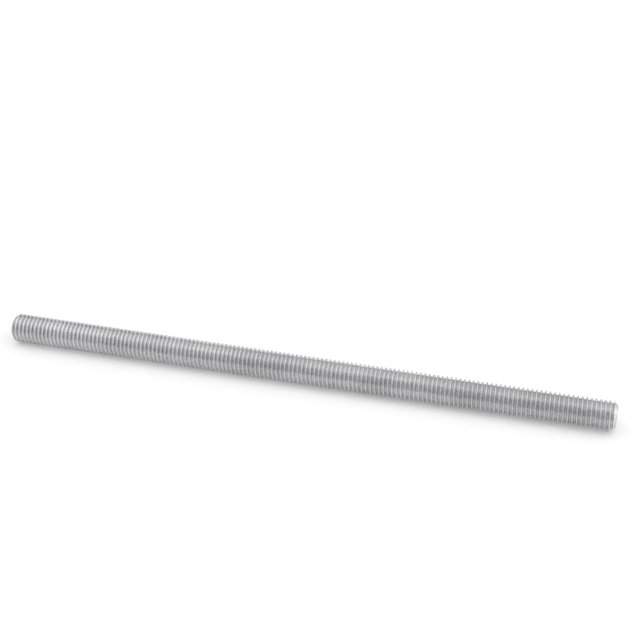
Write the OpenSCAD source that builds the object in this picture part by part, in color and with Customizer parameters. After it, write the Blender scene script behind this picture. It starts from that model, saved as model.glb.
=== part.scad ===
// Fully threaded metric rod of plain steel, lying along X with its middle at the origin.
// The thread is drawn by its true section as closed turns, one pitch apart.

/* [Thread] */
// Nominal diameter of the thread
thread_d = 12; // [8:0.5:20]
// Distance along the rod from one turn to the next
pitch = 1.75; // [1:0.05:2.5]
// Angle between the two flanks of a groove
flank_angle = 60; // [55:1:65]
// How far the crests lie inside the nominal diameter, measured along a radius
crest_gap = 0.1; // [0:0.01:0.13]
// How far the flanks and roots lie inside the basic thread, measured along a radius
flank_gap = 0.05; // [0:0.01:0.08]

/* [Rod] */
// Length from end face to end face
rod_length = 250; // [40:1:500]
// Length of the chamfer at each end, measured along the rod
chamfer_length = 1.5; // [0.5:0.1:2.5]
// Angle between the chamfer and the rod's axis
chamfer_angle = 45; // [30:1:50]

/* [Hidden] */

// Metric thread form, as shares of the height of the sharp vee that the flanks would meet in
crest_share = 1 / 8;
depth_share = 17 / 24;

// Sides of each circle when the rod is previewed
circle_sides = 72;

// The sharp vee: its height, and the radius at which the flanks of one turn would meet
vee_height = pitch / 2 / tan(flank_angle / 2);
apex_r = thread_d / 2 + crest_share * vee_height - flank_gap;

// Radii of the crests, the roots and the end faces
crest_r = thread_d / 2 - crest_gap;
root_r = thread_d / 2 - depth_share * vee_height - flank_gap;
end_r = crest_r - chamfer_length * tan(chamfer_angle);

// Half the width of one turn, at its crest and where it leaves the root
crest_half = (apex_r - crest_r) * tan(flank_angle / 2);
foot_half = (apex_r - root_r) * tan(flank_angle / 2);

// Enough turns to run past both ends, with one turn at the middle
turns_each_side = ceil(rod_length / 2 / pitch) + 1;
thread_end = (turns_each_side + 1 / 2) * pitch;

// Outline of one turn, from the root on its left to the root on its right
function turn_points(middle) = [
    [root_r, middle - foot_half],
    [crest_r, middle - crest_half],
    [crest_r, middle + crest_half],
    [root_r, middle + foot_half]
];

// Half section of the thread alone, longer than the rod
module thread_section() {
    turns = [for (i = [-turns_each_side : turns_each_side]) each turn_points(i * pitch)];
    low_end = [[0, -thread_end], [root_r, -thread_end]];
    high_end = [[root_r, thread_end], [0, thread_end]];
    polygon(concat(low_end, turns, high_end));
}

// Half section of the plain bar, with a chamfer at each end
module bar_section() {
    polygon([
        [0, -rod_length / 2],
        [end_r, -rod_length / 2],
        [crest_r, -rod_length / 2 + chamfer_length],
        [crest_r, rod_length / 2 - chamfer_length],
        [end_r, rod_length / 2],
        [0, rod_length / 2]
    ]);
}

// The rod: the thread, cut to the bar's length and chamfers
module threaded_rod() {
    color("silver")
    rotate([0, 90, 0])
    rotate_extrude($fn = circle_sides)
    intersection() {
        thread_section();
        bar_section();
    }
}

threaded_rod();
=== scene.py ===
"""Looks of a fully threaded steel rod lying on a white table.

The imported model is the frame. Its one node draws the thread as closed rings, and the piece made here
stands for it with the true right-hand helix, rounded roots and softened crests.
"""

import math

import bpy
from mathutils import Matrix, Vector


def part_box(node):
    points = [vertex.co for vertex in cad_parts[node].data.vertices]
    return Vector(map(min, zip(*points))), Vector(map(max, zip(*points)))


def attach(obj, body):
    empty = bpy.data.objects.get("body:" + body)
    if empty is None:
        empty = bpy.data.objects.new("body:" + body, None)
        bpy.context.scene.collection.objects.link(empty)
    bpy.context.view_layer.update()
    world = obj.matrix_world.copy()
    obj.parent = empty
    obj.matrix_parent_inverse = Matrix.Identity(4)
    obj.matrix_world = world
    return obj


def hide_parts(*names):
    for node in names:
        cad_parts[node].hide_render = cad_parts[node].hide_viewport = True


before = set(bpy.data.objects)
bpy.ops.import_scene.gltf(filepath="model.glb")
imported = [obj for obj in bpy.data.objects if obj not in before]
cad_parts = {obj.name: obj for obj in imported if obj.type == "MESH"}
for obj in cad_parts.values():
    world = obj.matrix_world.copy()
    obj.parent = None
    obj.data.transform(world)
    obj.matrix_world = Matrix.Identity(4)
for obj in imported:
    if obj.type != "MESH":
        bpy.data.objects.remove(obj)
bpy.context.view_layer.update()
rod_low, rod_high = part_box("threaded_rod")

# ---------------------------------------------------------------- sizes, in metres and radians

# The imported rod's circles have flat sides, so its box is a little narrower one way. The rod keeps to that
ROD_LENGTH = rod_high.x - rod_low.x
CREST_R = min(rod_high.y, rod_high.z)
FLOOR_Z = -CREST_R

# The thread, as in the part's source
NOMINAL_R = 0.006
PITCH = 0.00175
HALF_FLANK = math.radians(30)
FLANK_GAP = 0.00005
CREST_SHARE = 1 / 8
DEPTH_SHARE = 17 / 24
CHAMFER_LENGTH = 0.0015
CHAMFER_ANGLE = math.radians(45)
END_R = CREST_R - CHAMFER_LENGTH * math.tan(CHAMFER_ANGLE)

# How the turns are meshed, and where on the rod's girth the thread starts. The thread is made longer
# than the rod, with a pointed cap at each end, and is cut to length
STEPS_PER_TURN = 60
SPARE_TURNS = 2
TIP_LENGTH = 2 * PITCH
CUTTER_CLEARANCE = PITCH
THREAD_START = math.radians(0)
CREST_ROUNDING = 0.0001
CREST_ARC_POINTS = 3
ROOT_ARC_POINTS = 4
CHAMFER_SIDES = 180
SHARP_EDGE = math.radians(38)
CUT_TOLERANCE = 0.00002

# The steel's noise lies mostly between CLOUD_LOW and CLOUD_HIGH. A detail is its number of finer
# layers. The marks are read at their own scale, which their place has in it already
CLOUD_LOW = 0.3
CLOUD_HIGH = 0.7
PLAIN_DETAIL = 1
THREAD_MARK_DETAIL = 2
CUT_DETAIL = 3
OWN_SCALE = 1

# The steel. Brightness is the share of light that it reflects, a shade is a share of the brightness,
# and an amount is how far the brightness varies, as a share of itself. Scales are per metre and depths
# are in metres. The fine marks run round the rod: they are narrow along it and long round it
STEEL_TINT = (0.98, 0.98, 1.0)
MARK_WIDTH_SCALE = 9000
MARK_LENGTH_SCALE = 6
THREAD_BRIGHTNESS = 0.6
# Painted shade, with oil left in the roots: the thread darkens from the crests down into the roots
ROOT_DEPTH = 0.001
ROOT_OIL_AND_SHADE = 0.98
PATCH_SCALE = 70
PATCH_AMOUNT = 0.05
MOTTLE_SCALE = 700
MOTTLE_AMOUNT = 0.05
THREAD_MARK_AMOUNT = 0.02
THREAD_MARK_DEPTH = 0.000002
THREAD_SPECK_SCALE = 2500
THREAD_ROUGHNESS = (0.23, 0.31)
THREAD_STRETCH = 0.3

# The chamfers are brighter than the thread. The end faces are darker, partly as duller sawn steel and
# partly as painted shade at the rim, and this fades out on the chamfers over a width measured outwards from
# the face's edge
CUT_BRIGHTNESS = 0.68
END_DULL_AND_SHADE = 0.8
END_DULL_AND_SHADE_FADE = 0.0008
CUT_MARK_AMOUNT = 0.06
CUT_MARK_DEPTH = 0.000008
CUT_SPECK_SCALE = 1500
CUT_SPECK_AMOUNT = 0.05
CUT_ROUGHNESS = (0.24, 0.38)
CUT_STRETCH = 0.4

# The camera looks down on the rod with the +X end nearer. It is aimed at the middle of the rod and then
# moved to its own right and up, which frames the rod as the photograph does
CAMERA_AZIMUTH = math.radians(14.27)
CAMERA_ELEVATION = math.radians(33.41)
CAMERA_DISTANCE = 0.4953
CAMERA_RIGHT = 0.00773
CAMERA_UP = 0.01997
SENSOR_WIDTH = 36
FOCAL_LENGTH = 69.12
CLIP_NEAR = 0.01
CLIP_FAR = 50

# The studio: a white table under a white sky, four soft lamps, and two cards that dim the front and the
# horizon behind the rod. A radiance of 1 is white
WHITE = (1, 1, 1, 1)
TABLE_HALF = 6
TABLE_COLOUR = (0.83, 0.83, 0.83, 1)
TABLE_LIFT = 0.2
TABLE_FAR_LIFT = 0.7
LIFT_RISES_FROM = 0.2
LIFT_RISES_TO = 0.9
SKY_SHOWN = 1.0
SKY_LIGHT = 0.67
LAMP_DISTANCE = 1.5
SIDE_AZIMUTH = math.radians(90)
SIDE_ELEVATION = math.radians(38)
SIDE_WIDTH = 1.7
SIDE_HEIGHT = 2
LEFT_RADIANCE = 0.44
RIGHT_RADIANCE = 0.63
STRIP_PLACE = (-0.17, -0.12, 1.5)
STRIP_TURN = math.radians(40)
STRIP_LENGTH = 1.4
STRIP_WIDTH = 0.5
STRIP_RADIANCE = 0.24
KEY_ELEVATION = math.radians(90)
KEY_SIZE = 1.2
KEY_RADIANCE = 0.75
CARD_DISTANCE = 1.5
FRONT_CARD_AZIMUTH = math.radians(0)
FRONT_CARD_ELEVATION = math.radians(35)
FRONT_CARD_WIDTH = 1.7
FRONT_CARD_HEIGHT = 2.1
FRONT_CARD_COLOUR = (0.8, 0.8, 0.8, 1)
BACK_CARD_AZIMUTH = math.radians(180)
BACK_CARD_ELEVATION = math.radians(6.9)
BACK_CARD_WIDTH = 3
BACK_CARD_HEIGHT = 0.36
BACK_CARD_COLOUR = (0.15, 0.15, 0.15, 1)


# ---------------------------------------------------------------- the thread

def arc(centre, radius, start, end, count):
    """Points on an arc, as (distance along the rod, distance from the axis), both ends included."""
    x, r = centre
    angles = [start + (end - start) * i / (count - 1) for i in range(count)]
    return [(x + radius * math.cos(a), r + radius * math.sin(a)) for a in angles]


def turn_outline():
    """One pitch of the thread's section, from the edge of one flat crest down and up to the next one's.

    Distances along the rod are from the middle of the first crest.
    """
    vee_height = PITCH / 2 / math.tan(HALF_FLANK)
    apex_r = NOMINAL_R + CREST_SHARE * vee_height - FLANK_GAP
    root_r = NOMINAL_R - DEPTH_SHARE * vee_height - FLANK_GAP
    crest_half = (apex_r - CREST_R) * math.tan(HALF_FLANK)

    quarter = math.pi / 2
    turned = quarter - HALF_FLANK
    corner_x = crest_half - CREST_ROUNDING * math.tan(turned / 2)
    corner = (corner_x, CREST_R - CREST_ROUNDING)
    falling = arc(corner, CREST_ROUNDING, quarter, quarter - turned, CREST_ARC_POINTS)

    vee_r = apex_r - vee_height
    root_radius = root_r - vee_r
    root_centre = (PITCH / 2, root_r + root_radius)
    root = arc(root_centre, root_radius, -quarter - turned, -quarter + turned, ROOT_ARC_POINTS)

    rising = [(PITCH - x, r) for x, r in reversed(falling)]
    return falling + root + rising


def helix_points(outline, steps, start_x):
    """The outline's points at each step of the helix, with one more turn for the strip to close on."""
    points = []
    for i in range(steps + STEPS_PER_TURN + 1):
        turn_part = i / STEPS_PER_TURN
        angle = THREAD_START + 2 * math.pi * turn_part
        for x, r in outline:
            along = start_x + PITCH * (turn_part - 1) + x
            points.append((along, r * math.cos(angle), r * math.sin(angle)))
    return points


def point_number(per_step, i, k):
    """The k-th point of step i. Past the outline's end it is the same point one turn on."""
    return (i + STEPS_PER_TURN * (k // per_step)) * per_step + k % per_step


def strip_quad(per_step, i, k):
    """The quad of the strip between steps i and i + 1, at the k-th point of the outline."""
    corners = ((i, k), (i, k + 1), (i + 1, k + 1), (i + 1, k))
    return tuple(point_number(per_step, *corner) for corner in corners)


def open_rim(per_step, step):
    """The strip's open edge at its first or last step: once round, and back along the section."""
    rim = [point_number(per_step, i, 0) for i in range(step, step + STEPS_PER_TURN + 1)]
    return rim + [point_number(per_step, step, k) for k in range(per_step - 1, 0, -1)]


def fan(rim, tip):
    """Triangles from a closed rim to a tip."""
    return [(a, b, tip) for a, b in zip(rim, rim[1:] + rim[:1])]


def thread_mesh():
    """The uncut thread: a helical strip of quads that closes on itself, with a cap at each end."""
    outline = turn_outline()
    per_step = len(outline)
    turns = math.ceil(ROD_LENGTH / PITCH) + 2 * SPARE_TURNS
    steps = turns * STEPS_PER_TURN
    start_x = -turns * PITCH / 2

    verts = helix_points(outline, steps, start_x)
    low_tip = len(verts)
    high_tip = low_tip + 1
    verts.append((start_x - TIP_LENGTH, 0, 0))
    verts.append((-start_x + TIP_LENGTH, 0, 0))

    faces = [strip_quad(per_step, i, k) for i in range(steps) for k in range(per_step)]
    faces += fan(open_rim(per_step, 0), low_tip)
    faces += [(b, a, tip) for a, b, tip in fan(open_rim(per_step, steps), high_tip)]

    mesh = bpy.data.meshes.new("rod_thread")
    mesh.from_pydata(verts, [], faces)
    mesh.validate()
    return mesh


def ring_points(rings):
    """Points round the axis, for rings given as (distance along the rod, distance from the axis)."""
    points = []
    for x, r in rings:
        for i in range(CHAMFER_SIDES):
            angle = 2 * math.pi * i / CHAMFER_SIDES
            points.append((x, r * math.cos(angle), r * math.sin(angle)))
    return points


def ring_faces(count):
    """The faces that join rings into a closed bar: a cap at each end, and quads between the rings."""
    last = (count - 1) * CHAMFER_SIDES
    faces = [tuple(reversed(range(CHAMFER_SIDES)))]
    faces.append(tuple(range(last, last + CHAMFER_SIDES)))
    for ring in range(count - 1):
        for i in range(CHAMFER_SIDES):
            a = ring * CHAMFER_SIDES + i
            b = ring * CHAMFER_SIDES + (i + 1) % CHAMFER_SIDES
            faces.append((a, b, b + CHAMFER_SIDES, a + CHAMFER_SIDES))
    return faces


def bar_mesh():
    """The chamfered bar that the thread is cut to. Its side stands clear of the crests."""
    side_r = CREST_R + CUTTER_CLEARANCE * math.tan(CHAMFER_ANGLE)
    half = ROD_LENGTH / 2
    shoulder = half - CHAMFER_LENGTH - CUTTER_CLEARANCE
    rings = [(-half, END_R), (-shoulder, side_r), (shoulder, side_r), (half, END_R)]
    mesh = bpy.data.meshes.new("chamfered_bar")
    mesh.from_pydata(ring_points(rings), [], ring_faces(len(rings)))
    return mesh


def is_cut(point):
    """Whether a point lies on an end face or a chamfer, and not on the thread."""
    end = ROD_LENGTH / 2 - abs(point.x)
    below_crest = CREST_R - math.hypot(point.y, point.z)
    below_chamfer = below_crest - (CHAMFER_LENGTH - end) * math.tan(CHAMFER_ANGLE)
    return end < CUT_TOLERANCE or (end < CHAMFER_LENGTH and below_chamfer < CUT_TOLERANCE)


def cut_to_bar(rod):
    """Cut the thread to the bar's length and chamfers, and leave the result in the mesh."""
    bar = bpy.data.objects.new("bar_cutter", bar_mesh())
    bpy.context.collection.objects.link(bar)
    cut = rod.modifiers.new("cut", "BOOLEAN")
    cut.operation = "INTERSECT"
    cut.solver = "MANIFOLD"
    cut.object = bar
    graph = bpy.context.evaluated_depsgraph_get()
    finished = bpy.data.meshes.new_from_object(rod.evaluated_get(graph))
    rod.modifiers.clear()
    rod.data = finished
    bpy.data.objects.remove(bar)


def threaded_rod():
    """The rod, with one steel on its thread and another on its cut ends and chamfers."""
    rod = bpy.data.objects.new("rod_with_helix", thread_mesh())
    bpy.context.collection.objects.link(rod)
    cut_to_bar(rod)
    mesh = rod.data
    mesh.materials.clear()
    mesh.materials.append(thread_steel())
    mesh.materials.append(cut_steel())
    for face in mesh.polygons:
        face.material_index = int(is_cut(face.center))
    mesh.shade_smooth()
    mesh.set_sharp_from_angle(angle=SHARP_EDGE)
    return rod


# ---------------------------------------------------------------- materials

def new_material(name):
    """A node material, with its tree and its shader."""
    material = bpy.data.materials.new(name)
    material.use_nodes = True
    tree = material.node_tree
    return material, tree, tree.nodes["Principled BSDF"]


def feed(tree, value, socket):
    """Give a socket a number, a colour or another socket's result."""
    if isinstance(value, bpy.types.NodeSocket):
        tree.links.new(value, socket)
    else:
        socket.default_value = value


def calc(tree, operation, *values):
    """The result of a Math node."""
    node = tree.nodes.new("ShaderNodeMath")
    node.operation = operation
    for value, socket in zip(values, node.inputs):
        feed(tree, value, socket)
    return node.outputs[0]


def vector_calc(tree, operation, *values):
    """The result of a Vector Math node: a vector, or a number for a length."""
    node = tree.nodes.new("ShaderNodeVectorMath")
    node.operation = operation
    for value, socket in zip(values, node.inputs):
        feed(tree, value, socket)
    return node.outputs["Value" if operation == "LENGTH" else "Vector"]


def spread(tree, value, from_low, from_high, to_low, to_high):
    """A value carried smoothly from one range to another."""
    node = tree.nodes.new("ShaderNodeMapRange")
    node.interpolation_type = "SMOOTHSTEP"
    sockets = ("Value", "From Min", "From Max", "To Min", "To Max")
    for name, amount in zip(sockets, (value, from_low, from_high, to_low, to_high)):
        feed(tree, amount, node.inputs[name])
    return node.outputs["Result"]


def noise(tree, vector, scale, detail=PLAIN_DETAIL):
    """Cloudy noise, mostly from CLOUD_LOW to CLOUD_HIGH."""
    node = tree.nodes.new("ShaderNodeTexNoise")
    feed(tree, vector, node.inputs["Vector"])
    feed(tree, scale, node.inputs["Scale"])
    feed(tree, detail, node.inputs["Detail"])
    return node.outputs["Fac"]


def varied(tree, value, clouds, amount):
    """A value raised and lowered by a share of itself, as the clouds go."""
    share = spread(tree, clouds, CLOUD_LOW, CLOUD_HIGH, 1 - amount, 1 + amount)
    return calc(tree, "MULTIPLY", value, share)


def tinted(tree, brightness, tint):
    """A colour of one tint at a varying brightness."""
    node = tree.nodes.new("ShaderNodeVectorMath")
    node.operation = "SCALE"
    node.inputs[0].default_value = tint
    feed(tree, brightness, node.inputs["Scale"])
    return node.outputs["Vector"]


def rays_that_show(tree):
    """1 for rays that show a background to the camera, directly or in metal or glass, and 0 for others."""
    path = tree.nodes.new("ShaderNodeLightPath").outputs
    shown = calc(tree, "MAXIMUM", path["Is Camera Ray"], path["Is Glossy Ray"])
    return calc(tree, "MAXIMUM", shown, path["Is Transmission Ray"])


def rod_places(tree):
    """The place on the rod, its distance from the axis, and a place that turning tools follow.

    The last one changes quickly along the rod and outwards, and slowly round it, so noise read there
    gives fine marks that run round the axis, on the thread and on the end faces alike.
    """
    place = tree.nodes.new("ShaderNodeTexCoord").outputs["Object"]
    across = vector_calc(tree, "MULTIPLY", place, (0, 1, 1))
    radius = vector_calc(tree, "LENGTH", across)
    outward = vector_calc(tree, "NORMALIZE", across)
    slow = vector_calc(tree, "MULTIPLY", outward, (MARK_LENGTH_SCALE,) * 3)
    apart = tree.nodes.new("ShaderNodeSeparateXYZ")
    tree.links.new(place, apart.inputs[0])
    quick = calc(tree, "ADD", apart.outputs["X"], radius)
    quick = calc(tree, "MULTIPLY", quick, MARK_WIDTH_SCALE)
    joined = tree.nodes.new("ShaderNodeCombineXYZ")
    tree.links.new(quick, joined.inputs["X"])
    marks = vector_calc(tree, "ADD", slow, joined.outputs[0])
    return place, radius, marks


def finish_steel(tree, shader, brightness, roughness, stretch):
    """Bare metal. Its shine is stretched, as marks that run round the rod would stretch it."""
    tree.links.new(tinted(tree, brightness, STEEL_TINT), shader.inputs["Base Color"])
    tree.links.new(roughness, shader.inputs["Roughness"])
    shader.inputs["Metallic"].default_value = 1
    shader.inputs["Anisotropic"].default_value = stretch
    tangent = tree.nodes.new("ShaderNodeTangent")
    tangent.direction_type = "RADIAL"
    tangent.axis = "X"
    tree.links.new(tangent.outputs[0], shader.inputs["Tangent"])


def fine_bump(tree, shader, height, depth):
    """Fine relief that is too small to model."""
    bump = tree.nodes.new("ShaderNodeBump")
    bump.inputs["Strength"].default_value = 1
    bump.inputs["Distance"].default_value = depth
    tree.links.new(height, bump.inputs["Height"])
    tree.links.new(bump.outputs[0], shader.inputs["Normal"])


def thread_steel():
    """Bright rolled steel: mottled, a little darker in the roots from oil and painted shade, with fine
    marks along the thread.
    """
    material, tree, shader = new_material("thread_steel")
    place, radius, marks = rod_places(tree)
    patches = noise(tree, place, PATCH_SCALE)
    mottle = noise(tree, place, MOTTLE_SCALE)
    specks = noise(tree, place, THREAD_SPECK_SCALE)
    lines = noise(tree, marks, OWN_SCALE, THREAD_MARK_DETAIL)

    # Painted shade, with oil left there: darker from the crests down into the roots
    root_oil_and_shade_bright = THREAD_BRIGHTNESS * ROOT_OIL_AND_SHADE
    root_r = CREST_R - ROOT_DEPTH
    bright = spread(tree, radius, root_r, CREST_R, root_oil_and_shade_bright, THREAD_BRIGHTNESS)
    bright = varied(tree, bright, patches, PATCH_AMOUNT)
    bright = varied(tree, bright, mottle, MOTTLE_AMOUNT)
    bright = varied(tree, bright, lines, THREAD_MARK_AMOUNT)
    rough = spread(tree, specks, CLOUD_LOW, CLOUD_HIGH, *THREAD_ROUGHNESS)
    finish_steel(tree, shader, bright, rough, THREAD_STRETCH)
    fine_bump(tree, shader, lines, THREAD_MARK_DEPTH)
    return material


def cut_steel():
    """Bare steel of the bright chamfers and the end faces, darker from duller sawn steel and painted shade,
    with turning marks.
    """
    material, tree, shader = new_material("cut_steel")
    place, radius, marks = rod_places(tree)
    specks = noise(tree, place, CUT_SPECK_SCALE, CUT_DETAIL)
    lines = noise(tree, marks, OWN_SCALE, CUT_DETAIL)

    # Painted shade at the rim, with duller sawn steel: the end faces are darker, and this fades out across
    # the chamfers
    fade_r = END_R + END_DULL_AND_SHADE_FADE
    bright = spread(tree, radius, END_R, fade_r, CUT_BRIGHTNESS * END_DULL_AND_SHADE, CUT_BRIGHTNESS)
    bright = varied(tree, bright, lines, CUT_MARK_AMOUNT)
    bright = varied(tree, bright, specks, CUT_SPECK_AMOUNT)
    rough = spread(tree, lines, CLOUD_LOW, CLOUD_HIGH, *CUT_ROUGHNESS)
    finish_steel(tree, shader, bright, rough, CUT_STRETCH)
    fine_bump(tree, shader, lines, CUT_MARK_DEPTH)
    return material


def make_matt(shader, colour):
    """Give a shader one colour and no shine."""
    shader.inputs["Base Color"].default_value = colour
    shader.inputs["Roughness"].default_value = 1
    shader.inputs["Specular IOR Level"].default_value = 0


def table_white():
    """Matt white, lifted where the camera, reflections or glass show it, so that it reads as white.

    The lift is small near the rod, which keeps its shadow, and grows where the lamps no longer reach.
    """
    material, tree, shader = new_material("table_white")
    make_matt(shader, TABLE_COLOUR)
    shader.inputs["Emission Color"].default_value = WHITE
    place = tree.nodes.new("ShaderNodeTexCoord").outputs["Object"]
    distance = vector_calc(tree, "LENGTH", place)
    lift = spread(tree, distance, LIFT_RISES_FROM, LIFT_RISES_TO, TABLE_LIFT, TABLE_FAR_LIFT)
    lift = calc(tree, "MULTIPLY", lift, rays_that_show(tree))
    tree.links.new(lift, shader.inputs["Emission Strength"])
    return material


def card_paper(name, colour):
    """Matt card."""
    material, _, shader = new_material(name)
    make_matt(shader, colour)
    return material


# ---------------------------------------------------------------- stage, lights and camera

def flat_piece(name, width, height, material):
    """A flat rectangle about the origin."""
    w = width / 2
    h = height / 2
    mesh = bpy.data.meshes.new(name)
    mesh.from_pydata([(-w, -h, 0), (w, -h, 0), (w, h, 0), (-w, h, 0)], [], [(0, 1, 2, 3)])
    mesh.materials.append(material)
    piece = bpy.data.objects.new(name, mesh)
    bpy.context.collection.objects.link(piece)
    return piece


def way_from_rod(azimuth, elevation):
    """The direction from the rod to a place around it. Azimuth 0 is in front, at -Y."""
    level = math.cos(elevation)
    return Vector((math.sin(azimuth) * level, -math.cos(azimuth) * level, math.sin(elevation)))


def put_around(piece, azimuth, elevation, distance):
    """Place something on a dome about the rod, facing it."""
    away = way_from_rod(azimuth, elevation)
    piece.location = away * distance + Vector((0, 0, FLOOR_Z))
    piece.rotation_euler = (-away).to_track_quat("-Z", "Y").to_euler()


def table():
    """The white table that the rod lies on."""
    top = flat_piece("table", 2 * TABLE_HALF, 2 * TABLE_HALF, table_white())
    top.location.z = FLOOR_Z


def front_card():
    """The dimmer side of the studio, where the camera stands. The camera looks through it."""
    paper = card_paper("front_card", FRONT_CARD_COLOUR)
    card = flat_piece("front_card", FRONT_CARD_WIDTH, FRONT_CARD_HEIGHT, paper)
    put_around(card, FRONT_CARD_AZIMUTH, FRONT_CARD_ELEVATION, CARD_DISTANCE)
    card.visible_camera = False


def back_card():
    """A low grey card behind the rod, which darkens the top edge of the thread."""
    paper = card_paper("back_card", BACK_CARD_COLOUR)
    card = flat_piece("back_card", BACK_CARD_WIDTH, BACK_CARD_HEIGHT, paper)
    put_around(card, BACK_CARD_AZIMUTH, BACK_CARD_ELEVATION, CARD_DISTANCE)
    card.visible_camera = False


def soft_lamp(name, width, height, radiance):
    """A soft rectangular lamp. Its power follows from the brightness that its face shows."""
    lamp = bpy.data.lights.new(name, "AREA")
    lamp.shape = "RECTANGLE"
    lamp.size = width
    lamp.size_y = height
    lamp.energy = radiance * math.pi * width * height
    holder = bpy.data.objects.new(name, lamp)
    holder.visible_camera = False
    bpy.context.collection.objects.link(holder)
    return holder


def side_lamps():
    """Two broad lamps, beyond the ends of the rod."""
    for name, side, radiance in (("left_lamp", -1, LEFT_RADIANCE), ("right_lamp", 1, RIGHT_RADIANCE)):
        lamp = soft_lamp(name, SIDE_WIDTH, SIDE_HEIGHT, radiance)
        put_around(lamp, side * SIDE_AZIMUTH, SIDE_ELEVATION, LAMP_DISTANCE)


def strip_lamp():
    """A long lamp overhead, for the highlight along the rod."""
    lamp = soft_lamp("strip_lamp", STRIP_LENGTH, STRIP_WIDTH, STRIP_RADIANCE)
    lamp.location = STRIP_PLACE
    lamp.rotation_euler.z = STRIP_TURN


def key_lamp():
    """A lamp straight above the table. Reflections don't show it, so it leaves no spot on the steel."""
    lamp = soft_lamp("key_lamp", KEY_SIZE, KEY_SIZE, KEY_RADIANCE)
    put_around(lamp, 0, KEY_ELEVATION, LAMP_DISTANCE)
    lamp.visible_glossy = False


def white_sky():
    """Even white light. The camera, reflections and glass see it as plain white."""
    sky = bpy.data.worlds.new("white_sky")
    sky.use_nodes = True
    tree = sky.node_tree
    background = tree.nodes["Background"]
    background.inputs["Color"].default_value = WHITE
    strength = calc(tree, "MULTIPLY", rays_that_show(tree), SKY_SHOWN - SKY_LIGHT)
    tree.links.new(calc(tree, "ADD", strength, SKY_LIGHT), background.inputs["Strength"])
    bpy.context.scene.world = sky


def camera():
    """The camera, at the photograph's viewing angle."""
    back = way_from_rod(CAMERA_AZIMUTH, CAMERA_ELEVATION)
    right = Vector((math.cos(CAMERA_AZIMUTH), math.sin(CAMERA_AZIMUTH), 0))
    up = back.cross(right)
    lens = bpy.data.cameras.new("camera")
    lens.sensor_width = SENSOR_WIDTH
    lens.lens = FOCAL_LENGTH
    lens.clip_start = CLIP_NEAR
    lens.clip_end = CLIP_FAR
    holder = bpy.data.objects.new("camera", lens)
    holder.location = back * CAMERA_DISTANCE + right * CAMERA_RIGHT + up * CAMERA_UP
    holder.rotation_euler = (-back).to_track_quat("-Z", "Y").to_euler()
    bpy.context.collection.objects.link(holder)
    bpy.context.scene.camera = holder


rod = threaded_rod()
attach(rod, "root")
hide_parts("threaded_rod")

table()
front_card()
back_card()
side_lamps()
strip_lamp()
key_lamp()
white_sky()
camera()
bpy.context.scene.view_settings.view_transform = "Standard"
